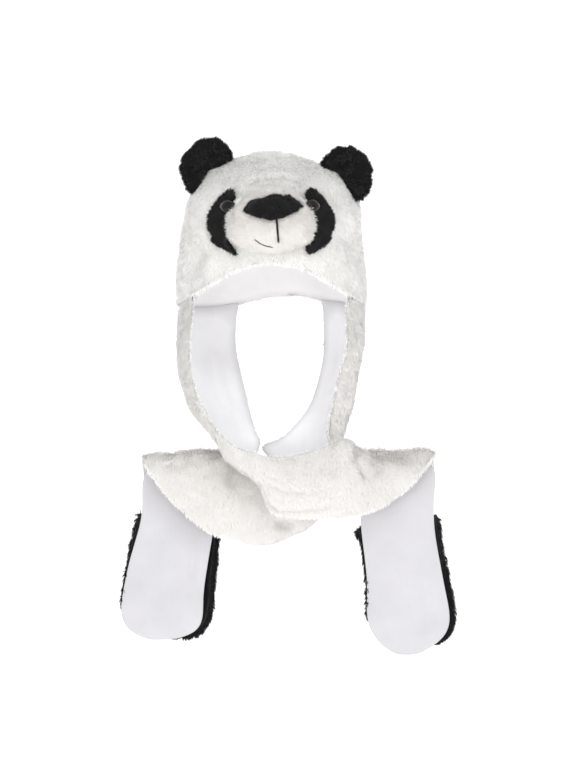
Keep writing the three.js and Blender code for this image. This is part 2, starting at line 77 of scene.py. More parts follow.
def merged_copy(name, node, crisp=0.0):
    """A new piece with the shape of a CAD node, its loose triangles merged into quads and its
    sharp edges kept as crisp as asked."""
    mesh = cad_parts[node].data.copy()
    mesh.materials.clear()
    form = bmesh.new()
    form.from_mesh(mesh)
    bmesh.ops.remove_doubles(form, verts=form.verts, dist=0.02 * MM)
    bmesh.ops.join_triangles(
        form,
        faces=form.faces,
        angle_face_threshold=FOLD_ANGLE,
        angle_shape_threshold=math.radians(60),
    )
    creased = form.edges.layers.float.new("crease_edge")
    rim = form.verts.layers.float.new("rim")
    for edge in form.edges:
        if edge.calc_face_angle(0) > FOLD_ANGLE:
            edge[creased] = crisp
            for corner in edge.verts:
                corner[rim] = 1
    form.to_mesh(mesh)
    form.free()
    for layer in list(mesh.color_attributes):
        mesh.color_attributes.remove(layer)
    mesh.name = name
    return link(name, mesh)


def cloth_copy(name, node, crisp=0.0):
    """A cloth wall: the CAD node's wall, subdivided until it curves."""
    piece = merged_copy(name, node, crisp)
    finer = piece.modifiers.new("finer", "SUBSURF")
    finer.levels = finer.render_levels = 2
    return finished(piece)


def places(piece):
    flat = np.empty(len(piece.data.vertices) * 3)
    piece.data.vertices.foreach_get("co", flat)
    return flat.reshape(-1, 3)


def set_places(piece, points):
    piece.data.vertices.foreach_set("co", np.ascontiguousarray(points).ravel())
    piece.data.update()


def normals(piece):
    flat = np.empty(len(piece.data.vertices) * 3)
    piece.data.vertex_normals.foreach_get("vector", flat)
    return flat.reshape(-1, 3)


def tree_of(*pieces):
    """A search tree over the faces of some pieces."""
    corners, faces = [], []
    for piece in pieces:
        start = len(corners)
        corners += [v.co.copy() for v in piece.data.vertices]
        faces += [[start + i for i in f.vertices] for f in piece.data.polygons]
    return BVHTree.FromPolygons(corners, faces)


def unit(ways):
    return ways / np.linalg.norm(ways, axis=1)[:, None]


def store(piece, name, values, kind="FLOAT"):
    """Keeps a number or, with kind FLOAT_VECTOR, a direction for each point of a piece."""
    layer = piece.data.attributes.new(name, kind, "POINT")
    flat = np.ascontiguousarray(values, dtype=np.float32).ravel()
    layer.data.foreach_set("value" if kind == "FLOAT" else "vector", flat)


def stored(piece, name):
    flat = np.empty(len(piece.data.vertices), dtype=np.float32)
    piece.data.attributes[name].data.foreach_get("value", flat)
    return flat


def off_path(points, path):
    """Distance of points to a line of places, as seen from the front, and their share of
    the way along it."""
    corners = np.array(path, dtype=float) * MM
    steps = np.linalg.norm(np.diff(corners, axis=0), axis=1)
    before = np.concatenate(([0], np.cumsum(steps)))
    spots = points[:, [0, 2]]
    best = np.full(len(points), 1e9)
    share = np.zeros(len(points))
    for i, length in enumerate(steps):
        along = (corners[i + 1] - corners[i]) / length
        reach = np.clip((spots - corners[i]) @ along, 0, length)
        off = np.linalg.norm(spots - corners[i] - reach[:, None] * along, axis=1)
        nearer = off < best
        best[nearer] = off[nearer]
        share[nearer] = (before[i] + reach[nearer]) / before[-1]
    return best, share


def crease_push(points, outward, creases):
    """How far each point moves outwards for a table of creases, seen from the front. A row
    with side -1 is on cloth whose pile faces away."""
    push = np.zeros(len(points))
    for row in creases:
        off, share = off_path(points, row["path"])
        off = off / (row["width"] * MM)
        fade = np.clip(np.minimum(share, 1 - share) / 0.25, 0.1, 1)
        side = np.clip(0.5 - row.get("side", 1) * outward[:, 1] * 2.5, 0, 1)
        shape = (1 - 1.1 * off**2) * np.exp(-(off**2))
        push -= row["depth"] * MM * shape * fade * side
    return push


def crumple(points, size, height, seed):
    """Slow swells of the cloth, the same for every layer at one place."""
    shift = Vector((seed * 1.7, seed * 3.1, seed * 0.9))
    return np.array(
        [noise.fractal(Vector(p) / size + shift, 0.9, 2.0, 3) for p in points]
    ) * height


def shift_near(points, rows):
    """Moves points near some places, as seen from the front: x, z, reach and the move."""
    for x, z, reach, move_x, move_z in rows:
        off = np.linalg.norm(points[:, [0, 2]] - np.array((x, z)) * MM, axis=1) / (reach * MM)
        points = points + np.exp(-(off**2))[:, None] * np.array((move_x, 0, move_z)) * MM
    return points


def stance(points):
    """The hood stands out a little at the hem and above the temples."""
    side = np.clip((np.abs(points[:, 0]) - 60 * MM) / (30 * MM), 0, 1) * np.sign(points[:, 0])
    points = points.copy()
    points[:, 0] += side * 3.8 * MM * np.exp(-(((points[:, 2] + 155 * MM) / (36 * MM)) ** 2))
    return shift_near(points, [(100, -52, 27, 8.5, 0), (-94, -42, 22, -4.5, 0)])


TEMPLES = [(76, -24, 20, 5.5, 6), (-72, -18, 20, -4, 5.5)]


def shape_cloth(layers, outer, creases, swell=1.5 * MM, size=0.036, seed=1, pile=2.8 * MM):
    """Presses creases and swells into layers that lie on each other, all the same way, and
    sets the outer face back by the height that its pile will fill."""
    skin = tree_of(outer)
    moved = []
    for layer in layers:
        points = places(layer)
        outward = np.array([skin.find_nearest(Vector(p))[1] for p in points])
        own = normals(layer)
        facing = np.sign((own * outward).sum(1))[:, None]
        if layer is outer:
            outward = own * np.where(stored(layer, "side") > 0, 1, -1)[:, None]
        else:
            outward = -own * facing
        push = crease_push(points, outward, creases) + crumple(points, size, swell, seed)
        if layer is outer:
            push -= pile * stored(layer, "side")
        moved.append(stance(points + outward * push[:, None]))
    for layer, points in zip(layers, moved):
        set_places(layer, points)


def reach_to(points, *pieces):
    """Distance from each point to the nearest of some pieces, and the place met there."""
    tree = tree_of(*pieces)
    met = [tree.find_nearest(Vector(p)) for p in points]
    return np.array([m[3] for m in met]), np.array([m[0] for m in met])


def mark_pile(piece, lining, joined=(), blockers=()):
    """Stores which side of a cloth is the outer one, away from its lining, as the share of the
    pile's height that its wall can give up, and where pile can grow: not inside a folded end,
    nor against a joined piece, nor where others lie in front within a reach of their own."""
    points, own = places(piece), normals(piece)
    outer = np.ones(len(points))
    if lining:
        off, spots = reach_to(points, lining)
        towards = np.abs(((spots - points) * own).sum(1)) / np.maximum(off, 1e-9)
        outer *= (towards < 0.8) | (off > 2.5 * MM)
        itself = tree_of(piece)
        for i in np.flatnonzero(outer * (off > 7 * MM)):
            start = Vector(points[i] + own[i] * 0.5 * MM)
            if all(itself.ray_cast(start, Vector((0, way, 0)), FOLDED_END)[0] for way in (-1, 1)):
                outer[i] = 0
    free = outer.copy()
    if lining:
        outer *= np.clip(off / FULL_WALL, 0.01, 1)
        free *= np.clip(off / (4 * MM), 0.5, 1)
    if joined:
        off, spots = reach_to(points, *joined)
        near = np.clip((2.5 * MM - off) / (1.5 * MM), 0, 1)
        if lining:
            near *= ((spots - points) * own).sum(1) > 0.3 * off
        free *= 1 - near
    for others, reach in blockers:
        blocked = tree_of(*others)
        for i, (p, n) in enumerate(zip(points, own)):
            if free[i] and blocked.ray_cast(Vector(p + n * 0.2 * MM), Vector(n), reach)[0]:
                free[i] = 0
    store(piece, "pile", free)
    store(piece, "side", outer if lining else free)


def sew_edge(fleece, plush, beside):
    """Thins a lining out along its free edges, where it is sewn to the plush, but not where it
    is sewn to another lining beside it."""
    points = places(fleece)
    pull = np.clip(stored(fleece, "rim") * 1.4 - 0.4, 0, 1)
    pull *= np.clip(reach_to(points, *beside)[0] / (5 * MM) - 0.8, 0, 1)
    spots = reach_to(points, plush)[1]
    set_places(fleece, points + (spots - points) * (0.8 * pull)[:, None])


def meet(piece, other, reach):
    """Draws the edge of a piece on to its neighbour where they are sewn together."""
    points = places(piece)
    off, spots = reach_to(points, other)
    pull = np.clip(2 - 2 * off / reach, 0, 1)
    pull *= np.clip(1 - 0.05 * MM / np.maximum(off, 1e-6), 0, 1)
    set_places(piece, points + (spots - points) * pull[:, None])


def node_maker(tree):
    """Makes nodes in a tree, with their settings, and their inputs as values or links."""

    def make(kind, settings=None, values=None):
        node = tree.nodes.new(kind)
        for key, value in (settings or {}).items():
            setattr(node, key, value)
        for key, value in (values or {}).items():
            if isinstance(value, bpy.types.NodeSocket):
                tree.links.new(value, node.inputs[key])
            else:
                node.inputs[key].default_value = value
        return node

    return make


def pile_tree():
    """Pile: thin blades on a cloth, leaning with its nap and drawn together into locks."""
    tree = bpy.data.node_groups.new("pile", "GeometryNodeTree")
    for label, kind, default in [
        ("Cloth", "NodeSocketGeometry", None),
        ("Blade", "NodeSocketObject", None),
        ("Density", "NodeSocketFloat", 4e5),
        ("Length", "NodeSocketFloat", 0.007),
        ("Width", "NodeSocketFloat", 0.0009),
        ("Stand", "NodeSocketFloat", 0.5),
        ("Tousle", "NodeSocketFloat", 0.55),
        ("Lock size", "NodeSocketFloat", 0.011),
        ("Stray", "NodeSocketFloat", 0.22),
        ("Seed", "NodeSocketInt", 3),
        ("Material", "NodeSocketMaterial", None),
    ]:
        socket = tree.interface.new_socket(label, in_out="INPUT", socket_type=kind)
        if default is not None:
            socket.default_value = default
    tree.interface.new_socket("Pile", in_out="OUTPUT", socket_type="NodeSocketGeometry")
    make = node_maker(tree)

    def vector(operation, *values, **named):
        inputs = {**dict(enumerate(values)), **named}
        node = make("ShaderNodeVectorMath", {"operation": operation}, inputs)
        return node.outputs["Value" if operation == "DOT_PRODUCT" else "Vector"]

    def math_node(operation, a, b):
        return make("ShaderNodeMath", {"operation": operation}, {0: a, 1: b}).outputs["Value"]

    def attribute(name, kind="FLOAT"):
        node = make("GeometryNodeInputNamedAttribute", {"data_type": kind}, {"Name": name})
        return node.outputs["Attribute"]

    given = make("NodeGroupInput").outputs
    density = math_node("MULTIPLY", given["Density"], attribute("pile"))
    spread = make(
        "GeometryNodeDistributePointsOnFaces",
        {"distribute_method": "RANDOM"},
        {"Mesh": given["Cloth"], "Density": density, "Seed": given["Seed"]},
    )
    place = make("GeometryNodeInputPosition").outputs["Position"]
    nap, long = attribute("nap", "FLOAT_VECTOR"), attribute("long")
    fineness = math_node("DIVIDE", 1.0, given["Lock size"])
    lean = []
    for share, power in ((1.0, 1.0), (2.7, 0.45)):
        locks = make(
            "ShaderNodeTexNoise",
            values={
                "Vector": place,
                "Scale": math_node("MULTIPLY", fineness, share),
                "Detail": 1.0,
            },
        ).outputs["Color"]
        centred = vector("SUBTRACT", locks, (0.5, 0.5, 0.5))
        tousle = math_node("MULTIPLY", given["Tousle"], power * 2)
        lean.append(vector("SCALE", centred, Scale=tousle))
    stray = make(
        "FunctionNodeRandomValue",
        {"data_type": "FLOAT_VECTOR"},
        {"Min": (-1, -1, -1), "Max": (1, 1, 1), "Seed": given["Seed"]},
    ).outputs["Value"]
    normal = spread.outputs["Normal"]
    aim = vector("SCALE", normal, Scale=given["Stand"])
    for part in (nap, *lean, vector("SCALE", stray, Scale=given["Stray"])):
        aim = vector("ADD", aim, part)
    aim = vector("NORMALIZE", aim)
    sunk = math_node("SUBTRACT", 0.34, vector("DOT_PRODUCT", aim, normal))
    sunk = math_node("MAXIMUM", sunk, 0.0)
    aim = vector("ADD", aim, vector("SCALE", normal, Scale=sunk))
    turn = make(
        "FunctionNodeAxesToRotation",
        {"primary_axis": "Z", "secondary_axis": "Y"},
        {"Primary Axis": aim, "Secondary Axis": normal},
    ).outputs["Rotation"]

    def chance(low, high, extra):
        return make(
            "FunctionNodeRandomValue",
            {"data_type": "FLOAT"},
            {2: low, 3: high, "Seed": math_node("ADD", given["Seed"], extra)},
        ).outputs[1]

    length = math_node("MULTIPLY", given["Length"], chance(0.72, 1.18, 7.0))
    length = math_node("MULTIPLY", length, long)
    width = math_node("MULTIPLY", given["Width"], chance(0.75, 1.25, 11.0))
    size = make("ShaderNodeCombineXYZ", values={0: width, 1: length, 2: length}).outputs[0]
    blade = make("GeometryNodeObjectInfo", values={"Object": given["Blade"]})
    planted = make(
        "GeometryNodeInstanceOnPoints",
        values={
            "Points": spread.outputs["Points"],
            "Instance": blade.outputs["Geometry"],
            "Rotation": turn,
            "Scale": size,
        },
    )
    toned = make(
        "GeometryNodeStoreNamedAttribute",
        {"data_type": "FLOAT", "domain": "INSTANCE"},
        {
            "Geometry": planted.outputs["Instances"],
            "Name": "tone",
            "Value": chance(0.0, 1.0, 19.0),
        },
    )
    real = make("GeometryNodeRealizeInstances", values={"Geometry": toned.outputs[0]})
    dressed = make(
        "GeometryNodeSetMaterial",
        values={"Geometry": real.outputs[0], "Material": given["Material"]},
    )
    make("NodeGroupOutput", values={"Pile": dressed.outputs[0]})
    return tree


def pile_blade():
    """One strand of pile, 1 long and 1 wide, that arches and comes to a point."""
    corners = [(-0.5, 0, 0), (0.5, 0, 0), (0.42, 0.07, 0.52), (-0.42, 0.07, 0.52), (0, -0.1, 1)]
    mesh = bpy.data.meshes.new("blade")
    mesh.from_pydata(corners, [], [(0, 1, 2, 3), (3, 2, 4)])
    mesh.polygons.foreach_set("use_smooth", [True, True])
    blade = link("blade", mesh)
    store(blade, "tip", [0, 0, 0.55, 0.55, 1])
    return blade


pile_nodes = pile_tree()
blade = pile_blade()


def grow_pile(name, cloth, material, count, **sizes):
    """The pile of one cloth as a piece of its own, with about count blades."""
    share = stored(cloth, "pile")
    area = 0.0
    for face in cloth.data.polygons:
        area += face.area * float(np.mean([share[i] for i in face.vertices]))
    piece = link(name, cloth.data.copy())
    grow = piece.modifiers.new("grow", "NODES")
    grow.node_group = pile_nodes
    given = {"Blade": blade, "Material": material, "Density": count / area, **sizes}
    for item in pile_nodes.interface.items_tree:
        if item.in_out == "INPUT" and item.name in given:
            grow[item.identifier] = given[item.name]
    return finished(piece)


def new_look(name):
    """An empty material and the maker of its nodes."""
    look = bpy.data.materials.new(name)
    look.use_nodes = True
    look.node_tree.nodes.clear()
    return look, node_maker(look.node_tree)


def plush_look(name, root, tip, shade, rough=0.9, sheen=0.25, through=0.35):
    """Pile of one colour: darker at the root as painted shade, where the strands shadow each
    other, and each strand a little off the next.
    """
    look, make = new_look(name)
    along = make("ShaderNodeAttribute", {"attribute_name": "tip"}).outputs["Fac"]
    tone = make("ShaderNodeAttribute", {"attribute_name": "tone"}).outputs["Fac"]
    where = make("ShaderNodeTexCoord").outputs["Object"]
    blotch = make(
        "ShaderNodeTexNoise", values={"Vector": where, "Scale": 28.0, "Detail": 3.0}
    ).outputs["Fac"]
    root_shaded_colour = make(
        "ShaderNodeMix",
        # Painted shade: each strand runs from a darker root colour to its tip colour.
        {"data_type": "RGBA"},
        {"Factor": along, 6: (*root, 1), 7: (*tip, 1)},
    ).outputs[2]
    spread = make(
        "ShaderNodeMapRange",
        values={"Value": tone, "To Min": 1 - shade, "To Max": 1 + shade * 0.3},
    ).outputs["Result"]
    patchy = make(
        "ShaderNodeMapRange",
        values={"Value": blotch, "From Min": 0.3, "From Max": 0.7, "To Min": 1 - shade * 0.7},
    ).outputs["Result"]
    both = make("ShaderNodeMath", {"operation": "MULTIPLY"}, {0: spread, 1: patchy}).outputs[0]
    colour = make(
        "ShaderNodeVectorMath", {"operation": "SCALE"}, {0: root_shaded_colour, "Scale": both}
    ).outputs[0]
    front = make(
        "ShaderNodeBsdfPrincipled",
        values={
            "Base Color": colour,
            "Roughness": rough,
            "Sheen Weight": sheen,
            "Sheen Roughness": 0.5,
            "Specular IOR Level": 0.25,
        },
    ).outputs[0]
    behind = make("ShaderNodeBsdfTranslucent", values={"Color": colour}).outputs[0]
    blend = make("ShaderNodeMixShader", values={0: through, 1: front, 2: behind}).outputs[0]
    make("ShaderNodeOutputMaterial", values={"Surface": blend})
    return look


def backing_look(name, dark, light, scale=900.0, depth=0.0006, edge=1.0):
    """The cloth under the pile, or a brushed cloth: two near tones and a fine soft nap, and
    painted shade along its cut rims, darker by the share edge."""
    look, make = new_look(name)
    where = make("ShaderNodeTexCoord").outputs["Object"]
    slow = make(
        "ShaderNodeTexNoise", values={"Vector": where, "Scale": 22.0, "Detail": 4.0}
    ).outputs["Fac"]
    quick = make(
        "ShaderNodeTexNoise", values={"Vector": where, "Scale": scale, "Detail": 4.0}
    ).outputs["Fac"]
    both = make(
        "ShaderNodeMath", {"operation": "MULTIPLY_ADD"}, {0: quick, 1: 0.6, 2: slow}
    ).outputs[0]
    level = make(
        "ShaderNodeMapRange", values={"Value": both, "From Min": 0.55, "From Max": 1.05}
    ).outputs["Result"]
    colour = make(
        "ShaderNodeMix", {"data_type": "RGBA"}, {"Factor": level, 6: (*dark, 1), 7: (*light, 1)}
    ).outputs[2]
    # Painted shade: the colour is darkened along the cut rims, down to the share edge.
    rim = make("ShaderNodeAttribute", {"attribute_name": "rim"}).outputs["Fac"]
    painted_rim_shade = make(
        "ShaderNodeMapRange",
        values={"Value": rim, "From Min": 0.55, "To Min": 1.0, "To Max": edge},
    ).outputs["Result"]
    colour = make(
        "ShaderNodeVectorMath", {"operation": "SCALE"}, {0: colour, "Scale": painted_rim_shade}
    ).outputs[0]
    relief = make(
        "ShaderNodeBump", values={"Height": quick, "Distance": depth, "Strength": 0.55}
    ).outputs["Normal"]
    shown = make(
        "ShaderNodeBsdfPrincipled",
        values={
            "Base Color": colour,
            "Roughness": 0.95,
            "Normal": relief,
            "Sheen Weight": 0.2,
            "Specular IOR Level": 0.2,
        },
    ).outputs[0]
    make("ShaderNodeOutputMaterial", values={"Surface": shown})
    return look


white_pile = plush_look(
    "white_pile", (0.955, 0.946, 0.93), (0.985, 0.976, 0.962), 0.02, sheen=0.5, through=0.5
)
# The muzzle's and the arms' pile are the hood's white plush, a little warmer and painted darker
# where the lamps light them more strongly: painted shade.
warm_pile = plush_look(
    "warm_pile", (0.895, 0.875, 0.85), (0.925, 0.905, 0.88), 0.02, sheen=0.4, through=0.5
)
cream_pile = plush_look(
    "cream_pile", (0.93, 0.916, 0.896), (0.958, 0.945, 0.927), 0.02, sheen=0.4, through=0.5
)
# edge sets how dark the painted shade along each cloth's cut rims is.
white_backing = backing_look("white_backing", (0.76, 0.755, 0.74), (0.81, 0.805, 0.79), edge=0.75)
lining_look = backing_look(
    "lining_fleece", (0.81, 0.80, 0.81), (0.87, 0.86, 0.87), 1400.0, 0.0004, edge=0.8
)
# The hood's lining is the arms' fleece painted lighter, as painted light, since less light reaches
# it inside the hood.
hood_lining_lit_look = backing_look(
    "hood_lining_fleece", (0.95, 0.935, 0.935), (0.98, 0.965, 0.965), 1400.0, 0.0004, edge=0.8
)


def lay_nap(piece, direction, strength, lining=None):
    """Stores the way the pile lies: directions in space, one or one a place, laid flat. Along
    a lined edge the pile curls over towards the lining."""
    own = normals(piece)
    way = np.tile(np.array(direction, dtype=float), (len(own) // len(np.atleast_2d(direction)), 1))
    if lining:
        points = places(piece)
        off, spots = reach_to(points, lining)
        curl = np.clip(1.4 - off / (4 * MM), 0, 1)[:, None]
        way += curl * 0.9 * (spots - points) / np.maximum(off, 1e-9)[:, None]
    way -= (way * own).sum(1)[:, None] * own
    way /= np.maximum(np.linalg.norm(way, axis=1), 0.25)[:, None]
    store(piece, "nap", way * strength, "FLOAT_VECTOR")
    store(piece, "long", np.ones(len(own)))


def edge_length(piece, lining):
    """Shorter pile along a lined edge."""
    return np.clip(0.55 + reach_to(places(piece), lining)[0] / (14 * MM), 0.55, 1)


def set_long(piece, values):
    piece.data.attributes["long"].data.foreach_set(
        "value", np.ascontiguousarray(values, dtype=np.float32)
    )


def coat(piece, look):
    piece.data.materials.clear()
    piece.data.materials.append(look)
    return piece


HOOD_CREASES = [
    {"path": [(-36, -46), (-18, -36), (6, -32), (30, -37), (42, -46)], "width": 4.5, "depth": 4.0},
    {"path": [(-42, -34), (-12, -24), (16, -23), (46, -34)], "width": 5, "depth": 3.2},
    {"path": [(-30, -15), (0, -10), (34, -14)], "width": 5, "depth": 1.8},
    {"path": [(-62, -34), (-50, -26), (-30, -21)], "width": 6, "depth": 1.4},
    {"path": [(56, -36), (70, -46), (84, -62)], "width": 7, "depth": 1.6},
    {"path": [(-74, -96), (-86, -124), (-100, -152)], "width": 13, "depth": 4.2},
    {"path": [(-60, -126), (-78, -142), (-100, -176)], "width": 9, "depth": 2.0},
    {"path": [(76, -84), (94, -106), (106, -132)], "width": 12, "depth": 3.4},
    {"path": [(66, -122), (84, -144), (100, -172)], "width": 9, "depth": 2.0},
    {"path": [(-10, -134), (-8, -150)], "width": 5, "depth": 1.2, "side": -1},
    {"path": [(22, -132), (24, -150)], "width": 5, "depth": 1.2, "side": -1},
]
hood_plush = cloth_copy("hood_plush", "hood_shell", 0.3)
hood_fleece = cloth_copy("hood_fleece", "hood_lining", 0.8)
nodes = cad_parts
sewn_on = ["muzzle", "eye_patch_left", "eye_patch_right", "ear_left", "ear_right"]
sewn_on = [nodes[name] for name in sewn_on]
mark_pile(hood_plush, hood_fleece, [nodes["arm_left"], nodes["arm_right"]], [(sewn_on, 6 * MM)])
shape_cloth([hood_plush, hood_fleece], hood_plush, HOOD_CREASES)
for layer in (hood_plush, hood_fleece):
    set_places(layer, shift_near(places(layer), TEMPLES))
arm_linings = [nodes["arm_lining_left"], nodes["arm_lining_right"]]
sew_edge(hood_fleece, hood_plush, arm_linings)
HEM_LIFTS = [(26, -163, 7, 0, 1.2), (50, -168, 6, 0, 1.2)]
set_places(hood_fleece, shift_near(places(hood_fleece), HEM_LIFTS))
lay_nap(hood_plush, (0, 0, -1), 0.75, hood_fleece)
off = reach_to(places(hood_plush), *sewn_on)[0]
set_long(hood_plush, np.clip(0.6 + off / (16 * MM), 0.6, 1) * edge_length(hood_plush, hood_fleece))
hood_pile = grow_pile(
    "hood_pile", hood_plush, white_pile, 60000, Length=0.0072, Width=0.0013, Seed=11,
    Tousle=0.7, Stray=0.28,
)
coat(hood_plush, white_backing)
coat(hood_fleece, hood_lining_lit_look)
for piece, node in ((hood_plush, "hood_shell"), (hood_fleece, "hood_lining")):
    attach(piece, "root")
    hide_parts(node)
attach(hood_pile, "root")


# The muzzle: a stuffed white plush dome sewn to the front of the hood, with a soft crease
# under the nose on the viewer's left. Its pile is shorter and runs outwards from the nose.
def stuffed_copy(name, node, voxel, shrink, cap, pressure=4.0):
    """A padded piece: a CAD solid drawn in a little and blown up again as cloth."""
    piece = merged_copy(name, node)
    even = piece.modifiers.new("even", "REMESH")
    even.mode = "VOXEL"
    even.voxel_size = voxel
    finished(piece)
    start = places(piece)
    drawn = start - normals(piece) * shrink
    set_places(piece, drawn)
    blow = piece.modifiers.new("blow", "CLOTH")
    blow.settings.use_pressure = True
    blow.settings.uniform_pressure_force = pressure
    blow.settings.effector_weights.gravity = 0
    blow.collision_settings.use_collision = False
    blow.point_cache.frame_end = BLOW_FRAMES
    for step in range(1, BLOW_FRAMES + 1):
        bpy.context.scene.frame_set(step)
    graph = bpy.context.evaluated_depsgraph_get()
    blown = piece.evaluated_get(graph)
    flat = np.empty(len(start) * 3)
    blown.data.vertices.foreach_get("co", flat)
    piece.modifiers.clear()
    bpy.context.scene.frame_set(1)
    shift = flat.reshape(-1, 3) - drawn
    far = np.maximum(np.linalg.norm(shift, axis=1), 1e-9)
    shift *= np.minimum(1, cap / far)[:, None]
    set_places(piece, drawn + shift)
    ease = piece.modifiers.new("ease", "SMOOTH")
    ease.factor = 0.5
    ease.iterations = 6
    finer = piece.modifiers.new("finer", "SUBSURF")
    finer.levels = finer.render_levels = 1
    return finished(piece)


MOUTH_TOP, MOUTH_BOTTOM = (6.5, -73), (9, -102)
SMILE = [(-19, -99), (-13, -103.5), (-6, -106.5), (2, -108)]
MUZZLE_CREASES = [
    {"path": [(-22, -97), (-12, -105), (4, -109)], "width": 3.5, "depth": 2.2},
    {"path": [(8, -72), (9, -108)], "width": 5, "depth": 1.6},
    {"path": [(-44, -60), (-30, -46), (-16, -42)], "width": 5, "depth": 1.5},
    {"path": [(24, -44), (40, -54), (46, -66)], "width": 5, "depth": 1.4},
]
muzzle_plush = stuffed_copy("muzzle_plush", "muzzle", 3.5 * MM, 4 * MM, 9 * MM)
middle = np.array((2.5, 0, -60)) * MM
points = places(muzzle_plush) - middle
points[:, 0] *= 1.08
points[:, 2] = np.where(points[:, 2] < 0, points[:, 2] * 1.09, points[:, 2])
points = shift_near(points + middle, [(-47, -103, 11, -5, -2), (44, -104, 11, 3, -2)])
low = np.clip((-94 * MM - points[:, 2]) / (20 * MM), 0, 1) * 0.6
points += (reach_to(points, hood_plush)[1] - points) * low[:, None]
set_places(muzzle_plush, points)
meet(muzzle_plush, hood_plush, 5 * MM)
mark_pile(muzzle_plush, None, [hood_plush], [([nodes["nose"]], 6 * MM)])
points, own = places(muzzle_plush), normals(muzzle_plush)
push = crease_push(points, own, MUZZLE_CREASES) + crumple(points, 0.03, 1.2 * MM, 5)
set_places(muzzle_plush, points + own * push[:, None])
points = places(muzzle_plush)
away = points - np.array((2.5, -150, -60)) * MM
away[:, 1] = 0
lay_nap(muzzle_plush, unit(away), 0.7)
mouth_off = np.minimum(*(off_path(points, way)[0] for way in ([MOUTH_TOP, MOUTH_BOTTOM], SMILE)))
set_long(muzzle_plush, np.clip(0.26 + (mouth_off - 1.5 * MM) / (9 * MM), 0.26, 1))
muzzle_pile = grow_pile(
    "muzzle_pile", muzzle_plush, warm_pile, 17000, Length=0.0062, Width=0.0011, Seed=12, Stray=0.35
)
coat(muzzle_plush, white_backing)
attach(muzzle_plush, "root")
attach(muzzle_pile, "root")
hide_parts("muzzle")


# The nose: a flat black pad with pointed corners, in short plush, sewn over the top of the
# muzzle.
black_pile = plush_look(
    "black_pile", (0.0022, 0.002, 0.002), (0.0155, 0.0135, 0.0132), 0.5, 0.75, 0.12, 0.15
)
black_backing = backing_look("black_backing", (0.003, 0.003, 0.003), (0.010, 0.009, 0.009))
nose_pad = stuffed_copy("nose_pad", "nose", 2.5 * MM, 0.6 * MM, 3 * MM)
NOSE_SHIFTS = [
    (-9, -44, 9, 0, -3.6), (8, -42, 9, 0, -1.4), (37, -56, 7, 2.4, -3), (-32, -61, 7, 0, -2)
]
set_places(nose_pad, shift_near(places(nose_pad), NOSE_SHIFTS))
meet(nose_pad, muzzle_plush, 3 * MM)
mark_pile(nose_pad, None, [muzzle_plush])
points = places(nose_pad)
away = (points - np.array((3, -160, -60)) * MM) * (1, 0, 2.2)
lay_nap(nose_pad, unit(away), 0.8)
nose_pile = grow_pile(
    "nose_pile", nose_pad, black_pile, 7000, Length=0.0042, Width=0.0009, Seed=13, Tousle=1.3
)
coat(nose_pad, black_backing)
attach(nose_pad, "root")
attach(nose_pile, "root")
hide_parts("nose")


# The mouth: a black stitch of twisted two-ply yarn down from the nose, and one fine curved
# stitch beside its lower end, half sunk in the pile.
yarn_look = backing_look("black_yarn", (0.004, 0.004, 0.004), (0.016, 0.014, 0.014), 2200.0)
STITCHES = [
    {"path": [MOUTH_TOP, MOUTH_BOTTOM], "ply": 0.85, "lay": 0.7, "turn": 4.6, "above": 1.6},
    {"path": SMILE, "ply": 0.4, "lay": 0.3, "turn": 2.4, "above": 3.4},
]
front_of_muzzle = tree_of(muzzle_plush)
yarn = bmesh.new()
for stitch in STITCHES:
    corners = np.array(stitch["path"], dtype=float) * MM
    lengths = np.concatenate(([0], np.cumsum(np.linalg.norm(np.diff(corners, axis=0), axis=1))))
    course = []
    for step in range(YARN_STEPS + 1):
        share = step / YARN_STEPS
        x, z = (np.interp(share * lengths[-1], lengths, corners[:, k]) for k in (0, 1))
        met = front_of_muzzle.ray_cast(Vector((x, -0.3, z)), Vector((0, 1, 0)))[0]
        sunk = (1 - min(1, min(share, 1 - share) / 0.06)) * 3 * MM
        course.append(Vector((x, met.y - stitch["above"] * MM + sunk, z)))
    for ply in (0, math.pi):
        rings = []
        for i, spot in enumerate(course):
            along = (course[min(i + 1, YARN_STEPS)] - course[max(i - 1, 0)]).normalized()
            side = along.cross(Vector((0, 1, 0))).normalized()
            out = side.cross(along)
            turn = ply + i / YARN_STEPS * lengths[-1] / (stitch["turn"] * MM) * math.tau
            heart = spot + (side * math.cos(turn) + out * math.sin(turn)) * stitch["lay"] * MM
            ring = []
            for k in range(YARN_SIDES):
                angle = k / YARN_SIDES * math.tau
                reach = (side * math.cos(angle) + out * math.sin(angle)) * stitch["ply"] * MM
                ring.append(yarn.verts.new(heart + reach))
            rings.append(ring)
        for low, high in zip(rings, rings[1:]):
            for k in range(YARN_SIDES):
                after = (k + 1) % YARN_SIDES
                yarn.faces.new((low[k], low[after], high[after], high[k]))
        yarn.faces.new(rings[0][::-1])
        yarn.faces.new(rings[-1])
bmesh.ops.recalc_face_normals(yarn, faces=yarn.faces)
mouth_mesh = bpy.data.meshes.new("mouth_stitch")
yarn.to_mesh(mouth_mesh)
yarn.free()
mouth_stitch = coat(link("mouth_stitch", mouth_mesh), yarn_look)
mouth_mesh.polygons.foreach_set("use_smooth", [True] * len(mouth_mesh.polygons))
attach(mouth_stitch, "root")
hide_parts("mouth_line")


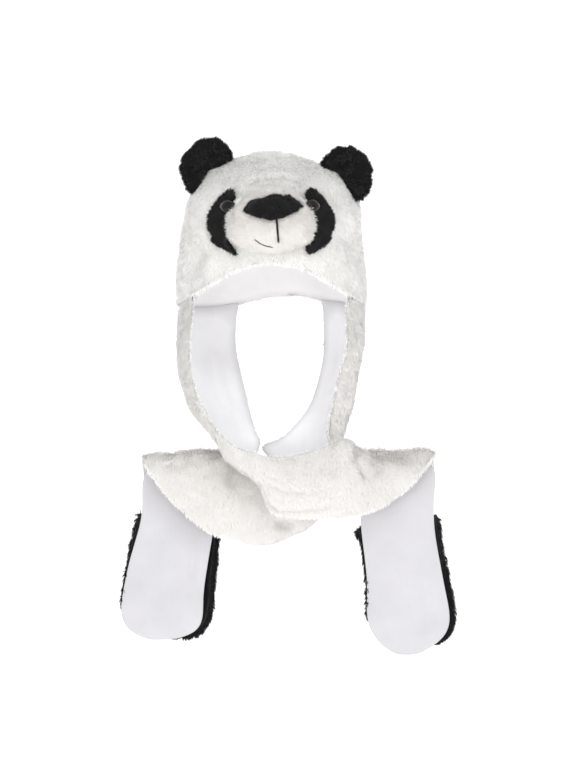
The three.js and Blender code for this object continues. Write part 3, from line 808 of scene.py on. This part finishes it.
# The eyes: a curved patch of black plush on each side of the muzzle, and a domed safety eye
# of dark plastic with a brown rim pressed through it.
def eye_look(name, centre):
    """Dark glossy plastic, with a brown ring round its middle."""
    look, make = new_look(name)
    where = make("ShaderNodeTexCoord").outputs["Object"]
    off = make(
        "ShaderNodeVectorMath", {"operation": "SUBTRACT"}, {0: where, 1: centre}
    ).outputs[0]
    flat = make(
        "ShaderNodeVectorMath", {"operation": "MULTIPLY"}, {0: off, 1: (1000, 0, 1000)}
    ).outputs[0]
    reach = make("ShaderNodeVectorMath", {"operation": "LENGTH"}, {0: flat}).outputs["Value"]
    grain = make(
        "ShaderNodeTexNoise", values={"Vector": where, "Scale": 700.0, "Detail": 2.0}
    ).outputs["Fac"]
    uneven = make(
        "ShaderNodeMath", {"operation": "MULTIPLY_ADD"}, {0: grain, 1: 1.2, 2: reach}
    ).outputs[0]
    share = make(
        "ShaderNodeMapRange", values={"Value": uneven, "From Min": 0.0, "From Max": 9.0}
    ).outputs["Result"]
    ramp = make("ShaderNodeValToRGB", values={"Fac": share})
    stops = ramp.color_ramp.elements
    stops[0].position, stops[0].color = 0.0, (0.002, 0.0015, 0.0015, 1)
    stops[1].position, stops[1].color = 1.0, (0.004, 0.0025, 0.002, 1)
    for position, shade in (
        (0.60, (0.002, 0.0015, 0.0015, 1)),
        (0.74, (0.007, 0.0035, 0.0025, 1)),
        (0.86, (0.012, 0.006, 0.004, 1)),
        (0.95, (0.004, 0.0025, 0.002, 1)),
    ):
        stop = stops.new(position)
        stop.color = shade
    shown = make(
        "ShaderNodeBsdfPrincipled",
        values={"Base Color": ramp.outputs["Color"], "Roughness": 0.03, "IOR": 1.35},
    ).outputs[0]
    make("ShaderNodeOutputMaterial", values={"Surface": shown})
    return look


EYE_SHIFTS = {"left": (-0.5, -1.4, -1.6), "right": (-1.6, -1.4, -0.8)}
PATCH_SHIFTS = {
    "left": [
        (-42, -100, 9, -6, 0), (-41, -110, 8.5, 1, -4), (-66, -90, 18, -0.6, 0),
        (-69, -102, 9, -1, -2), (-40, -44, 9, -5, 0.5), (-43, -103, 6, -4, 0),
        (-41, -107, 6, -4, -1), (-51, -116, 6, 1, 3),
    ],
    "right": [
        (42, -100, 9, 6, 0), (43, -108, 8.5, -1, -2.5), (66, -88, 18, 0.8, 0),
        (68, -100, 9, 0, -2), (46, -44, 9, 4, 1.5), (40, -113, 7, 2.5, 2.5),
    ],
}
for side, sign in (("left", -1), ("right", 1)):
    patch_node, eye_node = f"eye_patch_{side}", f"eye_{side}"
    low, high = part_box(eye_node)
    centre = (Vector(low) + Vector(high)) / 2
    shift = Vector(EYE_SHIFTS[side]) * MM
    look = eye_look(f"eye_{side}", centre + shift)
    button = coat(cloth_copy(f"eye_button_{side}", eye_node), look)
    points = (places(button) - centre) * (1.15, 1, 1.1) + centre
    set_places(button, points + np.array(shift))
    patch = stuffed_copy(f"patch_plush_{side}", patch_node, 2.2 * MM, 1.0 * MM, 2 * MM, 1.0)
    points = places(patch)
    points[:, 1] -= 0.6 * MM
    set_places(patch, shift_near(points, PATCH_SHIFTS[side]))
    meet(patch, hood_plush, 3 * MM)
    mark_pile(patch, None, [hood_plush], [([button, muzzle_plush], 6 * MM)])
    points = places(patch)
    away = (points - points.mean(0)) * (1.8, 0, 0.6)
    lay_nap(patch, unit(away), 0.9)
    off = reach_to(places(patch), button, muzzle_plush)[0]
    set_long(patch, np.clip(0.4 + off / (9 * MM), 0.4, 1))
    patch_pile = grow_pile(
        f"patch_pile_{side}", patch, black_pile, 8000, Length=0.005, Width=0.0009, Seed=21 + sign,
        Tousle=0.9, Stray=0.3,
    )
    coat(patch, black_backing)
    for piece in (button, patch, patch_pile):
        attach(piece, "root")
    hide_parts(eye_node)
    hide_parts(patch_node)


# The ears: round stuffed black plush discs, sewn to the crown along their lower edge and
# cupped forwards. The right one is folded across its face.
EAR_CREASES = {
    "left": [
        {"path": [(-58, 14), (-74, 0), (-90, -24)], "width": 9, "depth": 2.5},
        {"path": [(-60, -4), (-74, -16)], "width": 8, "depth": 2.0},
    ],
    "right": [
        {"path": [(62, -6), (84, -12), (104, -2)], "width": 6, "depth": 5.5},
        {"path": [(88, -26), (108, -40)], "width": 8, "depth": 2.5},
    ],
}
EAR_SIZES = {"left": (0.9, 1, 0.97), "right": (0.875, 1, 0.93)}
EAR_LIFTS = {"left": 2.2, "right": 3.6}
for side in ("left", "right"):
    ear = stuffed_copy(f"ear_plush_{side}", f"ear_{side}", 3 * MM, 3 * MM, 4 * MM)
    points, own = places(ear), normals(ear)
    push = crease_push(points, own, EAR_CREASES[side]) + crumple(points, 0.02, 1.6 * MM, 7)
    set_places(ear, points + own * push[:, None])
    low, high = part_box(f"ear_{side}")
    middle = (np.array(low) + np.array(high)) / 2
    points = middle + (stance(places(ear)) - middle) * EAR_SIZES[side]
    set_places(ear, points + np.array((0, 0, EAR_LIFTS[side])) * MM)
    meet(ear, hood_plush, 8 * MM)
    mark_pile(ear, None, [hood_plush])
    away = places(ear) - middle
    lay_nap(ear, unit(away), 0.45)
    ear_pile = grow_pile(
        f"ear_pile_{side}", ear, black_pile, 14000, Length=0.0086, Width=0.0012, Seed=31,
        Stand=0.9, Tousle=1.6, Stray=0.45,
    )
    coat(ear, black_backing)
    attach(ear, "root")
    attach(ear_pile, "root")
    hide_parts(f"ear_{side}")


# The arms: long strips of the same white plush, lined with fleece, sewn to the sides of the
# hem. They cross under the chin and fold over, and their loose cloth falls in soft folds.
ARM_CREASES = {
    "left": [
        {"path": [(-17, -376), (0, -379), (20, -383)], "width": 4.5, "depth": 1.6},
        {
            "path": [(-17, -384), (-9, -386), (12, -390), (34, -395), (62, -398)],
            "width": 4.5, "depth": 2.8,
        },
        {
            "path": [(-13, -398), (-2, -405), (10, -410), (30, -415), (56, -416), (80, -411)],
            "width": 4.5, "depth": 3.0,
        },
        {"path": [(-6, -402), (6, -412), (20, -420), (34, -424)], "width": 4, "depth": 2.4},
        {"path": [(103, -340), (101, -357), (107, -368), (116, -380)], "width": 8, "depth": 4.2},
        {"path": [(70, -344), (84, -344), (92, -360)], "width": 13, "depth": -4.5},
        {"path": [(114, -346), (122, -362), (128, -380)], "width": 12, "depth": 1.8},
        {"path": [(136, -352), (160, -356), (182, -360)], "width": 8, "depth": 1.4},
        {"path": [(-112, -193), (-92, -194)], "width": 4, "depth": 2.4},
        {"path": [(-56, -356), (-43, -367), (-29, -376)], "width": 5, "depth": 2.4},
        {"path": [(-72, -220), (-66, -262), (-50, -312)], "width": 8, "depth": 4.4, "side": -1},
        {"path": [(-52, -232), (-46, -274), (-34, -318)], "width": 7, "depth": 3.4, "side": -1},
    ],
    "right": [
        {"path": [(-43, -362), (-46, -378), (-50, -392)], "width": 8, "depth": 3.0},
        {"path": [(-102, -398), (-91, -409), (-83, -420)], "width": 7, "depth": 1.6},
        {"path": [(4, -424), (16, -430), (30, -434)], "width": 7, "depth": 6},
        {"path": [(-70, -352), (-100, -358), (-124, -368)], "width": 9, "depth": 1.6},
        {"path": [(-119, -348), (-122, -358), (-126, -368)], "width": 7, "depth": 2.6},
        {"path": [(112, -193), (96, -194)], "width": 4, "depth": 1.6},
        {
            "path": [(80, -178), (80, -240), (70, -300), (62, -330)],
            "width": 2.6, "depth": -2.4, "side": -1,
        },
        {"path": [(94, -232), (90, -276), (78, -322)], "width": 7, "depth": 1.8, "side": -1},
    ],
}
END_SHIFTS = {
    "right": [
        (-158, -360, 26, -6.5, 0),
        (-120, -340, 10, 0, -5),
        (-140, -340, 11, 0, 3),
        (-84, -342, 17, 0, 3.2),
        (-64, -347, 12, 9, 0),
        (-50, -358, 10, 0, 7),
        (0, -440, 26, 0, -8),
        (38, -436, 14, 0, -4),
        (108, -230, 40, 2, 0),
        (96, -300, 34, 4, 0),
        (80, -336, 18, 4.5, 0),
        (93, -185, 11, -5, 0),
        (93, -205, 11, -4.5, 0),
        (92, -226, 11, -4.5, 0),
        (88, -247, 11, -5.5, 0),
        (84, -267, 11, -6.5, 0),
        (80, -287, 11, -7, 0),
        (77, -307, 11, -7, 0),
        (74, -326, 11, -7, 0),
        (84, -330, 10, 4.5, 0),
        (10, -346, 13, -11, 3),
        (-1, -345, 9, -9, 1.5),
    ],
    "left": [
        (-20, -388, 17, 5, 3),
        (2, -406, 18, 0, -9),
        (30, -418, 17, 0, -3.2),
        (182, -344, 15, 2, 6),
        (148, -338, 17, 0, -3.5),
        (88, -334, 13, 1, 3.5),
        (103, -342, 9, -3, 1.5),
        (-108, -235, 38, -2.5, 0),
        (-98, -292, 34, -3, 0),
        (-20, -338, 12, 6.5, 0),
    ],
}


crossing = []  # the arm in front, once it is made, keeps the pile of the one behind it down
for side, other in (("left", "right"), ("right", "left")):
    plush = cloth_copy(f"arm_plush_{side}", f"arm_{side}", 0.3)
    fleece = cloth_copy(f"arm_fleece_{side}", f"arm_lining_{side}", 0.8)
    joined = [nodes["hood_shell"], nodes[f"mitten_back_{other}"]]
    palm_in_front = ([nodes[f"mitten_palm_{other}"]], 5 * MM)
    mark_pile(plush, nodes[f"arm_lining_{side}"], joined, crossing + [palm_in_front])
    shape_cloth([plush, fleece], plush, ARM_CREASES[side])
    for layer in (plush, fleece):
        set_places(layer, shift_near(places(layer), END_SHIFTS[side]))
    sew_edge(fleece, plush, [nodes["hood_lining"]])
    for layer, above in ((plush, hood_plush), (fleece, hood_fleece)):
        points = places(layer)
        points[:, 2] += 5 * MM * np.clip(1.6 - reach_to(points, above)[0] / (4 * MM), 0, 1)
        set_places(layer, points)
    lay_nap(plush, (0, 0, -1), 0.7, fleece)
    set_long(plush, edge_length(plush, fleece))
    arm_pile = grow_pile(
        f"arm_pile_{side}", plush, cream_pile, 46000, Length=0.0068, Width=0.0014, Seed=len(side)
    )
    crossing = [([plush, fleece], 2.5 * MM)]
    coat(plush, white_backing)
    coat(fleece, lining_look)
    for piece, slot in ((plush, "white_plush"), (arm_pile, "white_plush"), (fleece, "fleece")):
        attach(piece, "root")
    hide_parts(f"arm_{side}")
    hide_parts(f"arm_lining_{side}")


# The mittens: a fleece palm and a black plush back, sewn round the hand and open at the top,
# where the end of the arm folds over and joins them.
# The palms are the linings' fleece painted darker, as painted shade, since the lamps light them
# more strongly.
palm_shaded_look = backing_look(
    "palm_fleece", (0.515, 0.503, 0.517), (0.57, 0.557, 0.572), 1400.0, 0.0005
)
PALM_CREASES = {
    "left": [
        {"path": [(-132, -430), (-136, -480), (-130, -540)], "width": 10, "depth": 2.6},
        {"path": [(-116, -500), (-112, -552)], "width": 7, "depth": 1.8},
        {"path": [(-86, -420), (-90, -470), (-96, -530)], "width": 5, "depth": 2.0},
    ],
    "right": [
        {"path": [(196, -420), (194, -450), (196, -480)], "width": 8, "depth": 1.6},
        {"path": [(178, -500), (186, -540), (176, -568)], "width": 7, "depth": 2.2},
        {"path": [(140, -470), (146, -520), (150, -560)], "width": 10, "depth": 1.6},
    ],
}
BARE_EDGES = {
    "left": [(-180, -540), (-166, -563), (-147, -572), (-128, -574)],
    "right": [(114, -552), (124, -574), (146, -586), (176, -585), (190, -580)],
}
HAND_SHIFTS = {
    "left": [
        (-172, -545, 30, -4, 0), (-92, -545, 24, 2.5, 0), (-140, -575, 26, 0, -2.5),
        (-147, -384, 24, -3.8, 0), (-150, -358, 14, -1, 4),
    ],
    "right": [
        (118, -545, 28, -4, -2), (208, -545, 26, 3, -1), (160, -582, 30, 0, -5.5),
        (193, -376, 26, 4.5, 2), (196, -360, 15, 2, 6),
    ],
}
BACK_SHIFTS = {
    "left": [(-86, -520, 22, 3.0, 0), (-90, -550, 18, 3.0, -2), (-152, -424, 10, -1.5, 5)],
    "right": [(102, -431, 13, -5, -13), (200, -428, 14, 1, 8)],
}
for side, other, sign in (("left", "right", -1), ("right", "left", 1)):
    palm = cloth_copy(f"palm_fleece_{side}", f"mitten_palm_{side}")
    back = cloth_copy(f"mitten_plush_{side}", f"mitten_back_{side}")
    mark_pile(back, None, (), [([back, palm], 45 * MM)])
    shape_cloth([back], back, [], 1.5 * MM, 0.03, 6, 2.5 * MM)
    points = places(palm)
    push = crease_push(points, np.tile((0.0, -1.0, 0.0), (len(points), 1)), PALM_CREASES[side])
    push += crumple(points, 0.05, 1.4 * MM, 9)
    points = points + np.array((0, -1, 0)) * push[:, None]
    set_places(palm, shift_near(points, HAND_SHIFTS[side]))
    points = places(back)
    bare = np.exp(-((off_path(points, BARE_EDGES[side])[0] / (9 * MM)) ** 2))
    heart = (np.array(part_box(f"mitten_back_{side}")[0]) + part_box(f"mitten_back_{side}")[1]) / 2
    inward = unit((heart - points) * (1, 0, 1))
    points = points + inward * bare[:, None] * 4.5 * MM
    set_places(back, shift_near(points, HAND_SHIFTS[side] + BACK_SHIFTS[side]))
    lay_nap(back, (0, 0, -1), 0.6)
    set_long(back, 1 - 0.75 * bare)
    mitten_pile = grow_pile(
        f"mitten_pile_{side}", back, black_pile, 19000, Length=0.0072, Width=0.0014, Seed=51 + sign
    )
    coat(back, black_backing)
    coat(palm, palm_shaded_look)
    for piece, slot in ((back, "black_plush"), (mitten_pile, "black_plush"), (palm, "fleece")):
        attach(piece, "root")
    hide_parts(f"mitten_back_{side}")
    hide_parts(f"mitten_palm_{side}")


# A white floor that sweeps up behind, clear when it is looked through from its back, soft
# white light from the front and above, and the camera level with the middle of the
# photograph, far off with a long lens.
bpy.data.objects.remove(blade)
SWEEP = [(-3.0, 0), (1.6, 0), (2.1, 0.08), (2.45, 0.35), (2.6, 0.8), (2.6, 4.0)]
FLOOR_Z = -0.66
sweep = bmesh.new()
lines = [[sweep.verts.new((x, y, FLOOR_Z + z)) for y, z in SWEEP] for x in (-5.0, 5.0)]
for i in range(len(SWEEP) - 1):
    sweep.faces.new((lines[0][i], lines[1][i], lines[1][i + 1], lines[0][i + 1]))
sweep_mesh = bpy.data.meshes.new("sweep")
sweep.to_mesh(sweep_mesh)
sweep.free()
paper = bpy.data.materials.new("white_paper")
paper.use_nodes = True
shader = paper.node_tree.nodes["Principled BSDF"]
shader.inputs["Base Color"].default_value = (0.9, 0.9, 0.9, 1)
shader.inputs["Roughness"].default_value = 1.0
shader.inputs["Specular IOR Level"].default_value = 0.0
shader.inputs["Emission Color"].default_value = (1, 1, 1, 1)
shader.inputs["Emission Strength"].default_value = 0.42
make = node_maker(paper.node_tree)
back_side = make("ShaderNodeNewGeometry").outputs["Backfacing"]
clear = make("ShaderNodeBsdfTransparent").outputs[0]
one_sided = make("ShaderNodeMixShader", values={0: back_side, 1: shader.outputs[0], 2: clear})
ending = paper.node_tree.nodes["Material Output"].inputs["Surface"]
paper.node_tree.links.new(one_sided.outputs[0], ending)
backdrop = coat(link("backdrop", sweep_mesh), paper)


def soft_light(name, place, target, size, power, colour=(1, 1, 1)):
    data = bpy.data.lights.new(name, "AREA")
    data.shape = "RECTANGLE"
    data.size, data.size_y = size
    data.energy = power
    data.color = colour
    lamp = bpy.data.objects.new(name, data)
    bpy.context.scene.collection.objects.link(lamp)
    lamp.location = place
    lamp.rotation_euler = (Vector(target) - Vector(place)).to_track_quat("-Z", "Y").to_euler()
    return lamp


soft_light("key", (-0.8, -3.2, -0.05), (0, 0, -0.12), (2.4, 2.0), 15, (1.0, 0.985, 0.97))
soft_light("fill", (0.9, -2.4, 1.5), (0, 0, -0.1), (1.4, 1.4), 17, (0.98, 0.99, 1.0))
soft_light("low_left", (-0.4, -1.5, -0.5), (0, 0, 0.1), (0.2, 0.2), 2.5, (1.0, 0.985, 0.97))
soft_light("low_right", (0.5, -1.5, -0.42), (0, 0, 0.1), (0.2, 0.2), 2.2, (1.0, 0.985, 0.97))
# Two small lamps that light the domed eyes alone, for their catch-lights.
domes = bpy.data.collections.new("domes")
for side in ("left", "right"):
    domes.objects.link(bpy.data.objects[f"eye_button_{side}"])
for name, place, power in (
    ("glint_low", (0.7, -1.5, -0.6), 60), ("glint_right", (1.9, -1.3, -0.75), 90)
):
    glint = soft_light(name, place, (0, 0, -0.1), (0.3, 0.3), power)
    glint.light_linking.receiver_collection = domes
world = bpy.data.worlds.new("room")
world.use_nodes = True
air = world.node_tree.nodes["Background"].inputs
air["Color"].default_value = (0.96, 0.98, 1.0, 1)
air["Strength"].default_value = 0.92
bpy.context.scene.world = world

CAMERA_AWAY = 9.0
FRAME_HEIGHT = 0.906  # of the photograph, at the hat
PHOTO_X, PHOTO_Z = 0.020, -0.268  # the middle of the photograph
camera_data = bpy.data.cameras.new("camera")
camera_data.sensor_width = 36
camera_data.lens = 36 * CAMERA_AWAY / FRAME_HEIGHT
camera_data.clip_end = 60
camera = bpy.data.objects.new("camera", camera_data)
bpy.context.scene.collection.objects.link(camera)
camera.location = (PHOTO_X, -CAMERA_AWAY - 0.06, PHOTO_Z)
camera.rotation_euler = (math.pi / 2, 0, 0)
bpy.context.scene.camera = camera
bpy.context.scene.view_settings.view_transform = "Standard"
